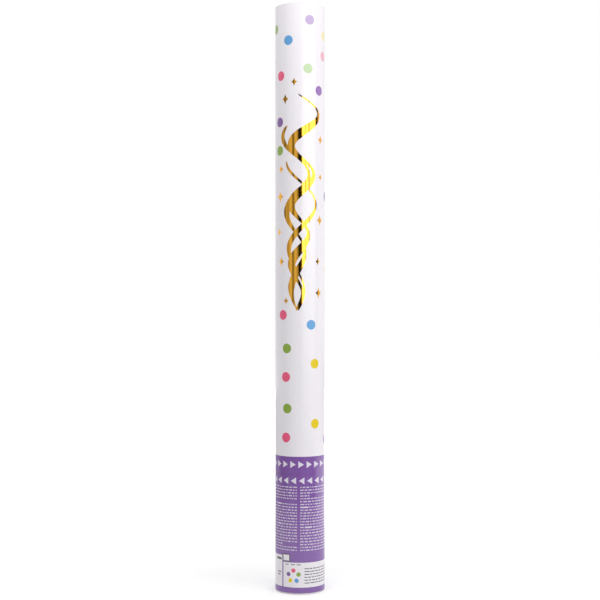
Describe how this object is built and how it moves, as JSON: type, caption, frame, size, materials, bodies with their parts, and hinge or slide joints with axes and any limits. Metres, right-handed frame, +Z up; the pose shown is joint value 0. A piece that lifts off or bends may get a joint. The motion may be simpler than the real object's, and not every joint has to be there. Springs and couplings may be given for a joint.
{
  "type": "confetti popper",
  "caption": "Hand-held twist-action confetti popper: a long printed board tube with a plug at the muzzle, turning on a short grip that holds a charged air cylinder.",
  "frame": {"origin": "middle of the foot, on the plane that the grip tube's cut edge stands on", "axes": "+Z up the tube's axis to the muzzle; -Y is the side that the picture shows; +X is the picture's right"},
  "size_m": [0.051, 0.051, 0.6],
  "materials": {
    "wound_board": "matte",
    "white_print": "gloss",
    "purple_print": "gloss",
    "cap_plastic": "satin",
    "valve_plastic": "satin",
    "seat_plastic": "satin",
    "drawn_aluminium": "satin",
    "black_rubber": "matte",
    "ground_steel": "satin",
    "grey_pulp": "matte",
    "tissue_pink": "matte",
    "tissue_yellow": "matte",
    "tissue_green": "matte",
    "tissue_blue": "matte",
    "tissue_purple": "matte"
  },
  "bodies": {
    "launcher": {"launch_tube": "wound_board", "launch_wrap": "white_print", "arrow_band": "purple_print", "valve_housing": "valve_plastic", "retaining_ring": "valve_plastic", "diffuser_plate": "valve_plastic"},
    "grip": {"grip_tube": "wound_board", "grip_label": "purple_print", "grip_liner": "wound_board", "bottom_cap": "cap_plastic", "base_pad": "grey_pulp", "air_cylinder": "drawn_aluminium", "fill_valve": "black_rubber", "neck_gasket": "black_rubber", "valve_seat": "seat_plastic", "crimp_ferrule": "drawn_aluminium", "cam_collar": "seat_plastic"},
    "plug": {"release_plug": "seat_plastic", "plug_o_rings": "black_rubber", "cross_pin": "ground_steel"},
    "payload": {"pusher_wad": "grey_pulp", "wad_disc": "grey_pulp", "confetti_layer_1": "tissue_pink", "confetti_layer_2": "tissue_yellow", "confetti_layer_3": "tissue_green", "confetti_layer_4": "tissue_blue", "confetti_layer_5": "tissue_purple", "confetti_layer_6": "tissue_pink", "confetti_layer_7": "tissue_yellow"},
    "muzzle_cap": {"muzzle_cap": "cap_plastic"}
  },
  "joints": [
    {"name": "grip_twist", "type": "hinge", "parent": "launcher", "child": "grip", "pos_m": [0, 0, 0.1], "axis": [0, 0, -1], "range_deg": [0, 90]},
    {"name": "plug_lift", "type": "slide", "parent": "launcher", "child": "plug", "axis": [0, 0, 1], "range_m": [0, 0.008]},
    {"name": "payload_launch", "type": "slide", "parent": "launcher", "child": "payload", "axis": [0, 0, 1], "range_m": [0, 0.437]},
    {"name": "cap_off", "type": "slide", "parent": "payload", "child": "muzzle_cap", "axis": [0, 0, 1], "range_m": [0, 0.06]}
  ],
  "couplings": [
    {"joint": "plug_lift", "follows": "grip_twist", "m_per_rad": 0.005093}
  ]
}
